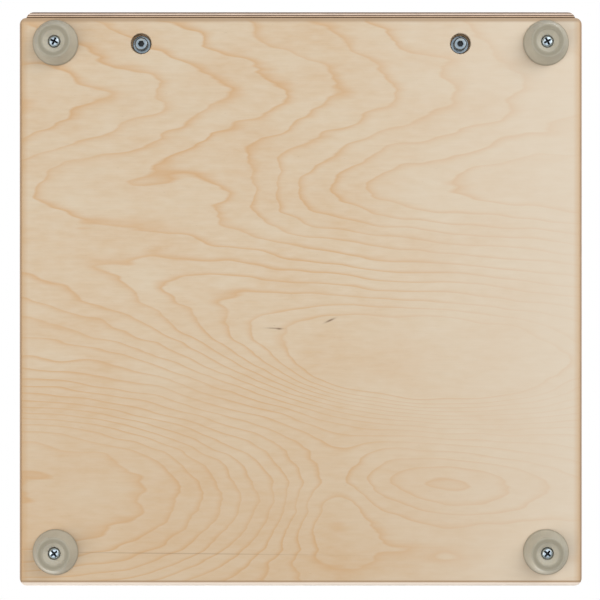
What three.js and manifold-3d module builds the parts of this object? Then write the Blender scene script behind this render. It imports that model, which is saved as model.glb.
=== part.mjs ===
// A cajon: a plywood box drum with a thin striking plate, four feet and a hex-key snare adjustment.
// Millimetres, +Z up, the striking plate faces -Y. The origin is on the floor, under the middle
// of the whole object. Every piece is its own named mesh.

import * as THREE from 'three';
import { mergeVertices } from 'three/addons/utils/BufferGeometryUtils.js';
import Module from 'manifold-3d';

const wasm = await Module();
wasm.setup();

// ---- driving dimensions ----

// The box, without its feet. Sizes that meet face to face are whole eighths of a millimetre, so
// that 32-bit meshes meet exactly.
const bodyWidth = 300;
const bodyDepth = 300;
const bodyHeight = 490;
const endThickness = 12; // bottom and top panels, which cover the side panels' ends
const sideThickness = 9;
const tapaThickness = 3.25;
const backThickness = 2.5;
const tapaInset = 3.75; // from each side of the box to the striking plate's inner face

// Rounded edges of the finished box
const bodyCornerRadius = 4;
const tapaCornerRadius = 3;
const rearCornerRadius = 4.75;
const lowerSideRadius = 3; // lower edges of the left and right sides
const lowerFaceRadius = 1.75; // lower edges of the striking plate and the back panel
const seatEdgeRadius = 3;

// Sound hole in the back panel
const soundHoleRadius = 60;
const soundHoleHeight = 330; // of its centre, above the floor

// Feet: tapered silicone rings, each with a pan head screw in its recess
const footHeight = 10;
const footBaseRadius = 12.15;
const footContactRadius = 8.5;
const footRecessRadius = 6.3;
const footX = 130.5;
const frontFootInset = 13.3; // behind the bottom panel's front edge
const rearFootInset = 15.7; // ahead of its rear edge
const footScrewSeat = 5.2; // height of the face that the screw head bears on
const footPocketDepth = 1.6; // of the upright-walled pocket that the screw head sits in
const footPocketGap = 0.8; // round the screw head in it
const footLip = 0.55; // width of the foot's bevels

// Wood screws of both kinds
const shankRadius = 1.75;
const screwClearance = 0.35; // round a screw in its hole
const pilotReach = 1; // from a screw's point to the end of its hole
const panHeadRadius = 3.1;
const panHeadHeight = 2.2;
const panHeadDome = [[2.25, 0.1], [2.95, 0.7], [panHeadRadius, 1.3]]; // radius, and depth below its top
const footScrewTip = 19.5; // height of the screw's point above the floor
const footScrewPoint = 3; // length of its point
const flatHeadRadius = 3.5;
const flatHeadRim = 0.3;
const tapaScrewLength = 20;
const tapaScrewPoint = 4; // length of its point
const tapaScrewRecess = 0.15; // the head's face below the striking plate's face

// Where the striking plate is screwed on
const endScrewXs = [-112.5, -37.5, 37.5, 112.5]; // into the edges of the bottom and top panels
const sideScrewCount = 5; // into each front batten
const sideScrewMargin = 35; // from the lowest and highest of them to the ends of the box

// Inner woodwork
const battenWidth = 14;
const battenDepth = 15;
const glueBlockSize = 18;
const glueBlockFrontGap = 8; // from a front batten to the glue blocks behind it
const glueBlockRearGap = 12;

// Snare adjusters: M4 socket head screws with a 3 mm hexagon socket, sunk into the bottom panel
const adjusterX = 85;
const adjusterInset = 13.65; // behind the bottom panel's front edge
const counterboreRadius = 5.5;
const counterboreDepth = 5.5;
const washerRadius = 4.75;
const washerThickness = 1;
const capHeadRadius = 3.5;
const capHeadHeight = 4;
const capHeadChamfer = 0.6;
const socketAcrossFlats = 3;
const socketDepth = 2.25;
const boltRadius = 1.95;
const boltLength = 40;
const boltPoint = 1; // length of its bevelled end
const boltPointRadius = 1.2;
const boltHoleRadius = 2.4;

// Carriages: T-shaped nuts that the adjusters pull down in beech guide blocks
const carriageHalfWidth = 5;
const carriageHalfDepth = 4.5;
const carriageBottom = 18; // this and the next three are heights above the underside of the box
const carriageShoulder = 40;
const carriageTop = 43.5;
const guideTop = 31;
const carriageArm = 13.5; // half the width of the T
const guideHalfWidth = 13;
const guideHalfDepth = 10;
const guideClearance = 0.35;

// Snare strings: two from each carriage, spreading upwards behind the striking plate
const stringRadius = 0.5;
const stringHoleRadius = 1.1;
const ballRadius = 1.9;
const ballLength = 3.2;
const stringGap = 0.35; // between a string's ball end and what it bears on
const stringStraight = 1; // straight on past the carriage, and below the anchor bar
const stringFootSpread = 10; // from the adjuster's axis to each string, at the carriage
const bridgeSpread = 22; // the same at the bridge
const anchorSpread = 23.5; // and at the anchor bar
const bridgeHeight = 400; // above the floor
const bridgeRadius = 4;
const bridgeStringGap = 0.25; // from the strings to the striking plate, and to the bridge
const anchorBarBottom = 438;
const anchorBarHeight = 18;
const anchorBarDepth = 12;
const anchorBarGap = 2; // from the striking plate
const anchorHoleInset = 4; // from the bar's front face to the strings in it

const toolReach = 1; // how far a cutting shape runs past the face that it cuts

// Facets round each kind of round piece
const holeFacets = 12;
const screwFacets = 12;
const footFacets = 24;
const stringFacets = 8;
const soundHoleFacets = 48;
const edgeFacets = 4; // in each quarter turn of a rounded edge

// ---- places worked out from them ----

const halfWidth = bodyWidth / 2;
const centring = (tapaThickness - backThickness) / 2;
const bodyFront = -bodyDepth / 2 + centring;
const bodyRear = bodyDepth / 2 + centring;
const tapaFace = bodyFront - tapaThickness;
const backFace = bodyRear + backThickness;
const bodyBottom = footHeight;
const bodyTop = footHeight + bodyHeight;
const cavityBottom = bodyBottom + endThickness;
const cavityTop = bodyTop - endThickness;
const sideInner = halfWidth - sideThickness;
const battenInner = sideInner - battenWidth;
const battenRear = bodyFront + battenDepth;
const adjusterY = bodyFront + adjusterInset;
const counterboreTop = bodyBottom + counterboreDepth;
const capHeadTop = counterboreTop - washerThickness; // the face that bears on the washer
const sides = [['left', -1], ['right', 1]];

// ---- materials ----

const birch = { color: 0xdcc29a, roughness: 0.5, metalness: 0 };
const walnutFace = { color: 0x6b5140, roughness: 0.45, metalness: 0 };
const beech = { color: 0xcfa67c, roughness: 0.6, metalness: 0 };
const silicone = { color: 0xb3ab98, roughness: 0.4, metalness: 0 };
const zinc = { color: 0xb7bcc0, roughness: 0.3, metalness: 1 };
const stringSteel = { color: 0xc3c1ba, roughness: 0.3, metalness: 1 };

// ---- shapes ----

// The triangles that turning leaves with no area on its axis are dropped.
function toSolid(geometry) {
  const bare = geometry.clone();
  bare.deleteAttribute('normal');
  bare.deleteAttribute('uv');
  const merged = mergeVertices(bare);
  const corners = merged.index.array;
  const kept = [];
  for (let i = 0; i < corners.length; i += 3) {
    const [a, b, c] = [corners[i], corners[i + 1], corners[i + 2]];
    if (a !== b && b !== c && c !== a) kept.push(a, b, c);
  }
  return new wasm.Manifold(new wasm.Mesh({
    numProp: 3,
    vertProperties: merged.attributes.position.array,
    triVerts: Uint32Array.from(kept),
  }));
}

function toGeometry(solid) {
  const mesh = solid.getMesh();
  const geometry = new THREE.BufferGeometry();
  geometry.setAttribute('position', new THREE.BufferAttribute(mesh.vertProperties, 3));
  geometry.setIndex(new THREE.BufferAttribute(mesh.triVerts, 1));
  geometry.computeVertexNormals();
  return geometry;
}

function cut(geometry, tools) {
  let solid = toSolid(geometry);
  for (const tool of tools) solid = solid.subtract(toSolid(tool));
  return toGeometry(solid);
}

function common(geometries) {
  return toGeometry(geometries.map(toSolid).reduce((a, b) => a.intersect(b)));
}

function joined(geometries) {
  return toGeometry(geometries.map(toSolid).reduce((a, b) => a.add(b)));
}

function block([x0, x1], [y0, y1], [z0, z1]) {
  const geometry = new THREE.BoxGeometry(x1 - x0, y1 - y0, z1 - z0);
  return geometry.translate((x0 + x1) / 2, (y0 + y1) / 2, (z0 + z1) / 2);
}

// An outline in X and Y, carried from z0 to z1. Three.js gives each arc twice its curveSegments.
function prism(shape, z0, z1, arcFacets = edgeFacets) {
  const options = { depth: z1 - z0, bevelEnabled: false, curveSegments: arcFacets / 2 };
  return new THREE.ExtrudeGeometry(shape, options).translate(0, 0, z0);
}

// A profile of [radius, height] pairs turned about the Z axis. It runs from the bottom outwards
// and up, and ends on the axis or where it began.
function turned(profile, facets) {
  const points = profile.map(([r, z]) => new THREE.Vector2(r, z));
  return new THREE.LatheGeometry(points, facets).rotateX(Math.PI / 2);
}

function cylinder(radius, z0, z1, facets) {
  return turned([[0, z0], [radius, z0], [radius, z1], [0, z1]], facets);
}

function polygon(points) {
  return new THREE.Shape(points.map(([x, y]) => new THREE.Vector2(x, y)));
}

// Straight stretches between points. Equal steps along it fall on the points, so that a section
// carried along it turns the corners.
class CorneredPath extends THREE.Curve {
  constructor(points) {
    super();
    this.points = points;
  }

  getPoint(t, target = new THREE.Vector3()) {
    const last = this.points.length - 1;
    const i = Math.min(Math.floor(t * last), last - 1);
    return target.lerpVectors(this.points[i], this.points[i + 1], t * last - i);
  }

  getPointAt(u, target) {
    return this.getPoint(u, target);
  }

  getTangentAt(u, target = new THREE.Vector3()) {
    const near = 1e-4;
    const ahead = this.getPoint(Math.min(u + near, 1));
    return target.copy(ahead).sub(this.getPoint(Math.max(u - near, 0))).normalize();
  }
}

// A rectangle with one radius for its two lower corners and one for its two upper ones
function roundedRectangle(halfSpan, low, high, lowRadius, highRadius) {
  const shape = new THREE.Shape();
  const right = Math.PI / 2;
  shape.moveTo(-halfSpan + lowRadius, low);
  shape.absarc(halfSpan - lowRadius, low + lowRadius, lowRadius, -right, 0, false);
  shape.absarc(halfSpan - highRadius, high - highRadius, highRadius, 0, right, false);
  shape.absarc(-halfSpan + highRadius, high - highRadius, highRadius, right, 2 * right, false);
  shape.absarc(-halfSpan + lowRadius, low + lowRadius, lowRadius, 2 * right, 3 * right, false);
  return shape;
}

// The box seen from above: rounded rear corners, and at the front the body's own rounded corners
// with the narrower, rounded striking plate before them.
function planOutline() {
  const quarter = Math.PI / 2;
  const tapaHalf = halfWidth - tapaInset;
  const tapaArcX = tapaHalf - tapaCornerRadius;
  const tapaArcY = tapaFace + tapaCornerRadius;
  const bodyArcX = halfWidth - bodyCornerRadius;
  const bodyArcY = bodyFront + bodyCornerRadius;
  const rearArcX = halfWidth - rearCornerRadius;
  const rearArcY = backFace - rearCornerRadius;
  const shape = new THREE.Shape();
  shape.moveTo(-tapaArcX, tapaFace);
  shape.absarc(tapaArcX, tapaArcY, tapaCornerRadius, -quarter, 0, false);
  shape.lineTo(tapaHalf, bodyFront);
  shape.absarc(bodyArcX, bodyArcY, bodyCornerRadius, -quarter, 0, false);
  shape.absarc(rearArcX, rearArcY, rearCornerRadius, 0, quarter, false);
  shape.absarc(-rearArcX, rearArcY, rearCornerRadius, quarter, 2 * quarter, false);
  shape.absarc(-bodyArcX, bodyArcY, bodyCornerRadius, 2 * quarter, 3 * quarter, false);
  shape.lineTo(-tapaHalf, bodyFront);
  shape.absarc(-tapaArcX, tapaArcY, tapaCornerRadius, 2 * quarter, 3 * quarter, false);
  return shape;
}

// The finished outside of the box, which every panel is trimmed to
function envelope() {
  const reach = bodyWidth;
  const halfDepth = backFace;
  const heights = [bodyBottom, bodyTop];
  const front = roundedRectangle(halfWidth, ...heights, lowerSideRadius, seatEdgeRadius);
  const side = roundedRectangle(halfDepth, ...heights, lowerFaceRadius, seatEdgeRadius);
  return common([
    prism(planOutline(), bodyBottom, bodyTop),
    prism(front, -reach, reach).rotateX(Math.PI / 2),
    prism(side, -reach, reach).rotateX(Math.PI / 2).rotateZ(Math.PI / 2),
  ]);
}

const outside = envelope();

// ---- the parts, kept in the order they are assembled ----

const cajon = new THREE.Group();
cajon.name = 'cajon';

function add(name, geometry, finish, [x, y, z] = [0, 0, 0]) {
  const mesh = new THREE.Mesh(geometry, new THREE.MeshStandardMaterial(finish));
  mesh.name = name;
  mesh.position.set(x, y, z);
  cajon.add(mesh);
}

// ---- screws and their holes ----

// Along +Y, with the middle of its head's face at the origin
function flatHeadScrew() {
  const coneEnd = flatHeadRim + flatHeadRadius - shankRadius;
  return turned([
    [0, 0],
    [flatHeadRadius, 0],
    [flatHeadRadius, flatHeadRim],
    [shankRadius, coneEnd],
    [shankRadius, tapaScrewLength - tapaScrewPoint],
    [0, tapaScrewLength],
  ], screwFacets).rotateX(-Math.PI / 2);
}

function flatHeadHole(x, z) {
  const rim = flatHeadRadius + screwClearance;
  const bore = shankRadius + screwClearance;
  const rimEnd = flatHeadRim + screwClearance / 2;
  return turned([
    [0, -toolReach],
    [rim, -toolReach],
    [rim, rimEnd],
    [bore, rimEnd + rim - bore],
    [bore, tapaScrewLength + pilotReach],
    [0, tapaScrewLength + pilotReach],
  ], holeFacets).rotateX(-Math.PI / 2).translate(x, tapaFace + tapaScrewRecess, z);
}

// Upright, point upwards, at its height above the floor
function footScrew() {
  const headFace = footScrewSeat - panHeadHeight;
  return turned([
    [0, headFace],
    ...panHeadDome.map(([r, depth]) => [r, headFace + depth]),
    [panHeadRadius, footScrewSeat],
    [shankRadius, footScrewSeat],
    [shankRadius, footScrewTip - footScrewPoint],
    [0, footScrewTip],
  ], screwFacets);
}

function tapaScrewPlaces() {
  const places = [];
  const sideX = battenInner + battenWidth / 2;
  const lowest = bodyBottom + sideScrewMargin;
  const pitch = (bodyHeight - 2 * sideScrewMargin) / (sideScrewCount - 1);
  for (const [side, sign] of sides) {
    for (let i = 0; i < sideScrewCount; i++) {
      places.push({ name: `tapa_screw_${side}_${i + 1}`, x: sign * sideX, z: lowest + i * pitch });
    }
  }
  endScrewXs.forEach((x, i) => {
    places.push({ name: `tapa_screw_bottom_${i + 1}`, x, z: bodyBottom + endThickness / 2 });
    places.push({ name: `tapa_screw_top_${i + 1}`, x, z: bodyTop - endThickness / 2 });
  });
  return places;
}

function footPlaces() {
  const places = [];
  const rows = [['front', bodyFront + frontFootInset], ['rear', bodyRear - rearFootInset]];
  for (const [row, y] of rows) {
    for (const [side, sign] of sides) places.push({ name: `${row}_${side}`, x: sign * footX, y });
  }
  return places;
}

const tapaScrews = tapaScrewPlaces();
const feet = footPlaces();

function tapaHoles(among) {
  return tapaScrews.filter(({ name }) => name.includes(among)).map(({ x, z }) => flatHeadHole(x, z));
}

// ---- the box ----

function addBottomPanel() {
  const panel = block([-halfWidth, halfWidth], [bodyFront, bodyRear], [bodyBottom, cavityBottom]);
  const pilotTop = footScrewTip + pilotReach;
  const below = bodyBottom - toolReach;
  const tools = tapaHoles('bottom');
  for (const { x, y } of feet) {
    const pilot = cylinder(shankRadius + screwClearance, below, pilotTop, holeFacets);
    tools.push(pilot.translate(x, y, 0));
  }
  for (const [, sign] of sides) {
    const sink = cylinder(counterboreRadius, below, counterboreTop, 2 * holeFacets);
    const bore = cylinder(boltHoleRadius, bodyBottom, cavityBottom + toolReach, holeFacets);
    tools.push(sink.translate(sign * adjusterX, adjusterY, 0));
    tools.push(bore.translate(sign * adjusterX, adjusterY, 0));
  }
  add('bottom_panel', cut(common([panel, outside]), tools), birch);
}

function addTopPanel() {
  const panel = block([-halfWidth, halfWidth], [bodyFront, bodyRear], [cavityTop, bodyTop]);
  add('top_panel', cut(common([panel, outside]), tapaHoles('top')), birch);
}

function addSidePanels() {
  for (const [side, sign] of sides) {
    const span = sign < 0 ? [-halfWidth, -sideInner] : [sideInner, halfWidth];
    const panel = block(span, [bodyFront, bodyRear], [cavityBottom, cavityTop]);
    add(`${side}_side_panel`, common([panel, outside]), birch);
  }
}

function addBackPanel() {
  const shape = polygon([
    [-halfWidth, bodyBottom],
    [halfWidth, bodyBottom],
    [halfWidth, bodyTop],
    [-halfWidth, bodyTop],
  ]);
  const hole = new THREE.Path();
  hole.absarc(0, soundHoleHeight, soundHoleRadius, 0, 2 * Math.PI, true);
  shape.holes.push(hole);
  const panel = prism(shape, -backFace, -bodyRear, soundHoleFacets).rotateX(Math.PI / 2);
  add('back_panel', common([panel, outside]), birch);
}

function addTapa() {
  const plate = block([-halfWidth, halfWidth], [tapaFace, bodyFront], [bodyBottom, bodyTop]);
  add('tapa', cut(common([plate, outside]), tapaHoles('tapa')), walnutFace);
}

function addTapaScrews() {
  for (const { name, x, z } of tapaScrews) {
    add(name, flatHeadScrew(), zinc, [x, tapaFace + tapaScrewRecess, z]);
  }
}

function addFrontBattens() {
  for (const [side, sign] of sides) {
    const span = sign < 0 ? [-sideInner, -battenInner] : [battenInner, sideInner];
    const batten = block(span, [bodyFront, battenRear], [cavityBottom, cavityTop]);
    add(`front_batten_${side}`, cut(batten, tapaHoles(side)), beech);
  }
}

// Three-cornered strips glued into the corners between the side panels and the end panels
function addGlueBlocks() {
  const front = battenRear + glueBlockFrontGap;
  const rear = bodyRear - glueBlockRearGap;
  for (const [end, z, up] of [['bottom', cavityBottom, 1], ['top', cavityTop, -1]]) {
    for (const [side, sign] of sides) {
      const corner = [sign * sideInner, z];
      const along = [sign * (sideInner - glueBlockSize), z];
      const upright = [sign * sideInner, z + up * glueBlockSize];
      const section = polygon([corner, along, upright]);
      const strip = prism(section, -rear, -front).rotateX(Math.PI / 2);
      add(`${end}_${side}_glue_block`, strip, beech);
    }
  }
}

// ---- feet ----

function foot() {
  const bore = shankRadius + 2 * screwClearance;
  const pocket = panHeadRadius + footPocketGap;
  return turned([
    [footRecessRadius, 0],
    [footContactRadius, 0],
    [footContactRadius + footLip, footLip],
    [footBaseRadius - footLip, footHeight - 3 * footLip],
    [footBaseRadius, footHeight - 2 * footLip],
    [footBaseRadius, footHeight],
    [bore, footHeight],
    [bore, footScrewSeat],
    [pocket, footScrewSeat],
    [pocket, footScrewSeat - footPocketDepth],
    [footRecessRadius - footLip, footLip],
    [footRecessRadius, 0],
  ], footFacets);
}

function addFeet() {
  for (const { name, x, y } of feet) {
    add(`${name}_foot`, foot(), silicone, [x, y, 0]);
    add(`${name}_foot_screw`, footScrew(), zinc, [x, y, 0]);
  }
}

// ---- snare adjustment ----

// The socket opens downwards, towards the player's hex key.
function adjuster() {
  const face = capHeadTop - capHeadHeight;
  const bolt = turned([
    [0, face],
    [capHeadRadius - capHeadChamfer, face],
    [capHeadRadius, face + capHeadChamfer],
    [capHeadRadius, capHeadTop],
    [boltRadius, capHeadTop],
    [boltRadius, capHeadTop + boltLength - boltPoint],
    [boltPointRadius, capHeadTop + boltLength],
    [0, capHeadTop + boltLength],
  ], 2 * screwFacets);
  const acrossCorners = socketAcrossFlats / Math.cos(Math.PI / 6);
  return cut(bolt, [cylinder(acrossCorners / 2, face - toolReach, face + socketDepth, 6)]);
}

function washer() {
  const bevel = 0.2;
  const inner = boltRadius + screwClearance;
  return turned([
    [inner, capHeadTop],
    [washerRadius - bevel, capHeadTop],
    [washerRadius, capHeadTop + bevel],
    [washerRadius, counterboreTop],
    [inner, counterboreTop],
    [inner, capHeadTop],
  ], 2 * holeFacets);
}

function carriage() {
  const [bottom, shoulder, top] = [carriageBottom, carriageShoulder, carriageTop];
  const section = polygon([
    [-carriageHalfWidth, bottom],
    [carriageHalfWidth, bottom],
    [carriageHalfWidth, shoulder],
    [carriageArm, shoulder],
    [carriageArm, top],
    [-carriageArm, top],
    [-carriageArm, shoulder],
    [-carriageHalfWidth, shoulder],
  ]);
  const body = prism(section, -carriageHalfDepth, carriageHalfDepth).rotateX(Math.PI / 2);
  const [low, high] = [bottom - toolReach, top + toolReach];
  const thread = cylinder(boltRadius + screwClearance, low, high, holeFacets);
  const eye = (x) => cylinder(stringHoleRadius, low, high, holeFacets).translate(x, 0, 0);
  return cut(body, [thread, eye(-stringFootSpread), eye(stringFootSpread)]);
}

// A beech block with an upright channel, open to the rear, which keeps the carriage from turning
function guideBlock() {
  const channelHalf = carriageHalfWidth + guideClearance;
  const channelFront = -carriageHalfDepth - guideClearance;
  return prism(polygon([
    [-guideHalfWidth, -guideHalfDepth],
    [guideHalfWidth, -guideHalfDepth],
    [guideHalfWidth, guideHalfDepth],
    [channelHalf, guideHalfDepth],
    [channelHalf, channelFront],
    [-channelHalf, channelFront],
    [-channelHalf, guideHalfDepth],
    [-guideHalfWidth, guideHalfDepth],
  ]), cavityBottom, bodyBottom + guideTop);
}

// From the ball end under the carriage's arm, up to the bridge, which holds it close behind the
// striking plate, and on through the anchor bar to the ball end on top.
function snareString(x, outward) {
  const shoulder = bodyBottom + carriageShoulder - stringGap;
  const straightTop = bodyBottom + carriageTop + stringStraight;
  const seat = anchorBarBottom + anchorBarHeight + stringGap;
  const anchorY = bodyFront + anchorBarGap + anchorHoleInset;
  const bridgeY = bodyFront + bridgeStringGap + stringRadius;
  const route = [
    new THREE.Vector3(x + outward * stringFootSpread, adjusterY, shoulder - ballLength / 2),
    new THREE.Vector3(x + outward * stringFootSpread, adjusterY, straightTop),
    new THREE.Vector3(x + outward * bridgeSpread, bridgeY, bridgeHeight),
    new THREE.Vector3(x + outward * anchorSpread, anchorY, anchorBarBottom - stringStraight),
    new THREE.Vector3(x + outward * anchorSpread, anchorY, seat + ballLength / 2),
  ];
  const ball = (at, z) => cylinder(ballRadius, z, z + ballLength, holeFacets).translate(at.x, at.y, 0);
  const round = new THREE.Shape();
  round.absarc(0, 0, stringRadius, 0, 2 * Math.PI, false);
  const wire = new THREE.ExtrudeGeometry(round, {
    steps: route.length - 1,
    extrudePath: new CorneredPath(route),
    curveSegments: stringFacets / 2,
    bevelEnabled: false,
  });
  return joined([wire, ball(route[0], shoulder - ballLength), ball(route[4], seat)]);
}

function addSnares() {
  for (const [side, sign] of sides) {
    const x = sign * adjusterX;
    add(`${side}_snare_adjuster`, adjuster(), zinc, [x, adjusterY, 0]);
    add(`${side}_adjuster_washer`, washer(), zinc, [x, adjusterY, 0]);
    add(`${side}_guide_block`, guideBlock(), beech, [x, adjusterY, 0]);
    add(`${side}_snare_carriage`, carriage(), zinc, [x, adjusterY, bodyBottom]);
    add(`${side}_snare_string_inner`, snareString(x, -sign), stringSteel);
    add(`${side}_snare_string_outer`, snareString(x, sign), stringSteel);
  }
}

function addBridge() {
  const y = bodyFront + 2 * bridgeStringGap + 2 * stringRadius + bridgeRadius;
  const dowel = cylinder(bridgeRadius, -battenInner, battenInner, 2 * holeFacets);
  add('string_bridge', dowel.rotateY(Math.PI / 2).translate(0, y, bridgeHeight), beech);
}

function addAnchorBar() {
  const front = bodyFront + anchorBarGap;
  const top = anchorBarBottom + anchorBarHeight;
  const bar = block(
    [-battenInner, battenInner],
    [front, front + anchorBarDepth],
    [anchorBarBottom, top],
  );
  const [low, high] = [anchorBarBottom - toolReach, top + toolReach];
  const hole = cylinder(stringHoleRadius, low, high, holeFacets);
  const holes = [];
  for (const [, sign] of sides) {
    for (const outward of [-1, 1]) {
      const x = sign * adjusterX + outward * anchorSpread;
      holes.push(hole.clone().translate(x, front + anchorHoleInset, 0));
    }
  }
  add('string_anchor_bar', cut(bar, holes), beech);
}

addBottomPanel();
addSidePanels();
addTopPanel();
addBackPanel();
addFrontBattens();
addGlueBlocks();
addTapa();
addTapaScrews();
addFeet();
addAnchorBar();
addBridge();
addSnares();

export default cajon;
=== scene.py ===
"""A cajon standing on a pale studio floor, seen from straight below."""

import math

import bmesh
import bpy
from mathutils import Matrix, Vector


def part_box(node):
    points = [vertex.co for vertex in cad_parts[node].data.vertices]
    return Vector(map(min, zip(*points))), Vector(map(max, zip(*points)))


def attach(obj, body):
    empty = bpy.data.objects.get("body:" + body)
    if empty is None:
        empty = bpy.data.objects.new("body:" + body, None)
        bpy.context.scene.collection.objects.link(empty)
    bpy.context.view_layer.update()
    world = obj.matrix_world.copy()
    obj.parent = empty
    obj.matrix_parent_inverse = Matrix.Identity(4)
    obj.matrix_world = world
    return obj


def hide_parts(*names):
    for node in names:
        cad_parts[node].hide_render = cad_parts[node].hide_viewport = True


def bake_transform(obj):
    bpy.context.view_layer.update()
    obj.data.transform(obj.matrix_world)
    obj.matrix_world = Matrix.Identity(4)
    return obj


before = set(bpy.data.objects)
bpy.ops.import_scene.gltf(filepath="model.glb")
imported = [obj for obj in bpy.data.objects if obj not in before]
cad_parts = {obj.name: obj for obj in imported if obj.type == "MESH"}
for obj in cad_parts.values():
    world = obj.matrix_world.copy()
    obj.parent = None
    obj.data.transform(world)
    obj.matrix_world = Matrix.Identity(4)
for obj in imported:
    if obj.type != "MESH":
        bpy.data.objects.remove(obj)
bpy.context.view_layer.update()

MM = 0.001
SIDES = (("left", -1), ("right", 1))

# ---- driving dimensions, in metres ----

# Rounded edges of the finished box, as in the CAD
BODY_CORNER = 4 * MM
TAPA_CORNER = 4.5 * MM
REAR_CORNER = 4.75 * MM
LOWER_SIDE_EDGE = 3 * MM
LOWER_FACE_EDGE = 1.75 * MM
SEAT_EDGE = 3 * MM
EDGE_STEPS = 10  # facets in each quarter turn

# Sheets: the thickness in millimetres and the number of plies
END_SHEET = (12, 9)
SIDE_SHEET = (9, 7)
BACK_SHEET = (2.5, 3)

# Holes
SOUND_HOLE_RADIUS = 60 * MM
SOUND_HOLE_HEIGHT = 330 * MM
SOUND_HOLE_EDGE = 0.8 * MM
COUNTERBORE_RADIUS = 5.5 * MM
BOLT_HOLE_RADIUS = 2.4 * MM
PILOT_RADIUS = 2.1 * MM
HOLE_CHAMFER = 0.35 * MM
CLEARANCE = 0.35 * MM

# Feet
FOOT_HEIGHT = 10 * MM
FOOT_BASE = 12.15 * MM
FOOT_CONTACT = 8.5 * MM
FOOT_RECESS = 6.3 * MM
FOOT_POCKET = 3.35 * MM
FOOT_POCKET_FACE = 3.6 * MM
FOOT_BORE = 2.45 * MM
FOOT_LIP = 0.55 * MM

# Screws
SCREW_SEAT = 5.2 * MM
PAN_HEAD = 3.1 * MM
PAN_HEIGHT = 2.2 * MM
SHANK = 1.75 * MM
WOOD_THREAD_CREST = 0.4 * MM
FOOT_SCREW_TIP = 19.5 * MM
FLAT_HEAD = 3.5 * MM
FLAT_RIM = 0.3 * MM
TAPA_SCREW_LENGTH = 20 * MM
WOOD_THREAD_PITCH = 1.6 * MM
RECESS_DEPTH = 1.7 * MM
RECESS_ARM = 2.2 * MM
RECESS_HALF_SLOT = 0.55 * MM
RECESS_TAPER = 0.45  # its size at the bottom, as a share of its size at the face

# Snare adjusters
CAP_HEAD = 3.5 * MM
CAP_HEIGHT = 4 * MM
CAP_CHAMFER = 0.6 * MM
SOCKET_FLATS = 3 * MM
SOCKET_DEPTH = 2.25 * MM
BOLT = 1.95 * MM
BOLT_LENGTH = 40 * MM
BOLT_PITCH = 0.7 * MM
BOLT_CREST = 0.35 * MM
WASHER = 4.75 * MM
WASHER_BORE = 2.3 * MM
WASHER_GAP = 0.04 * MM  # so that no faces touch where the head turns

# Snare strings
STRING = 0.5 * MM
BALL = 1.9 * MM
BALL_LENGTH = 3.2 * MM
STRING_FOOT_SPREAD = 10 * MM
BRIDGE_SPREAD = 22 * MM
ANCHOR_SPREAD = 23.5 * MM
STRING_GAP = 0.35 * MM
BRIDGE_GAP = 0.25 * MM
ANCHOR_HOLE_INSET = 4 * MM
CARRIAGE_ARM = 3.5 * MM
STRING_BEND = 0.8 * MM
BALL_RIM = 0.5 * MM
BALL_ROUNDING = 0.3 * MM

# ---- places taken from the CAD ----

BODY_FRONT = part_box("tapa")[1].y
TAPA_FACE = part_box("tapa")[0].y
TAPA_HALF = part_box("tapa")[1].x
BODY_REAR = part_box("back_panel")[0].y
BACK_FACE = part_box("back_panel")[1].y
HALF_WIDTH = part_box("bottom_panel")[1].x
BODY_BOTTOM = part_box("bottom_panel")[0].z
CAVITY_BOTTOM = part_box("bottom_panel")[1].z
CAVITY_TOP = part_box("top_panel")[0].z
BODY_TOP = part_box("top_panel")[1].z
SIDE_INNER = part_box("right_side_panel")[0].x
CAP_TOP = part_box("left_adjuster_washer")[0].z
COUNTERBORE_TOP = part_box("left_adjuster_washer")[1].z


def middle(node):
    low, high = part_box(node)
    return (low + high) / 2


# ---- mesh helpers ----


def new_object(name, mesh):
    made = bpy.data.objects.new(name, mesh)
    bpy.context.scene.collection.objects.link(made)
    return made


def from_faces(name, points, faces):
    mesh = bpy.data.meshes.new(name)
    mesh.from_pydata(points, [], faces)
    shape = bmesh.new()
    shape.from_mesh(mesh)
    bmesh.ops.remove_doubles(shape, verts=shape.verts, dist=1e-7)
    bmesh.ops.recalc_face_normals(shape, faces=shape.faces)
    shape.to_mesh(mesh)
    shape.free()
    return new_object(name, mesh)


def apply_modifiers(piece):
    bpy.context.view_layer.update()
    graph = bpy.context.evaluated_depsgraph_get()
    mesh = bpy.data.meshes.new_from_object(piece.evaluated_get(graph))
    piece.modifiers.clear()
    piece.data = mesh


def combine(piece, tool, operation):
    cutter = piece.modifiers.new("cut", "BOOLEAN")
    cutter.solver = "EXACT"
    cutter.operation = operation
    cutter.object = tool
    apply_modifiers(piece)
    bpy.data.objects.remove(tool)


def smooth(piece, angle=35):
    """Smooth shading up to an angle, with normals that keep the large faces flat."""
    piece.data.shade_smooth()
    piece.data.set_sharp_from_angle(angle=math.radians(angle))
    weighted = piece.modifiers.new("weighted", "WEIGHTED_NORMAL")
    weighted.keep_sharp = True
    apply_modifiers(piece)


def arc(centre, radius, start, end, steps=EDGE_STEPS):
    """Points on part of a circle, from one angle to another, in degrees."""
    points = []
    for i in range(steps + 1):
        angle = math.radians(start + (end - start) * i / steps)
        points.append((centre[0] + radius * math.cos(angle), centre[1] + radius * math.sin(angle)))
    return points


def prism(name, outline, low, high):
    """An outline in X and Y, carried from one height to another."""
    count = len(outline)
    points = [(x, y, low) for x, y in outline] + [(x, y, high) for x, y in outline]
    faces = [tuple(reversed(range(count))), tuple(range(count, 2 * count))]
    for i in range(count):
        j = (i + 1) % count
        faces.append((i, j, count + j, count + i))
    return from_faces(name, points, faces)


def block(name, xs, ys, zs):
    outline = [(xs[0], ys[0]), (xs[1], ys[0]), (xs[1], ys[1]), (xs[0], ys[1])]
    return prism(name, outline, *zs)


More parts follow.
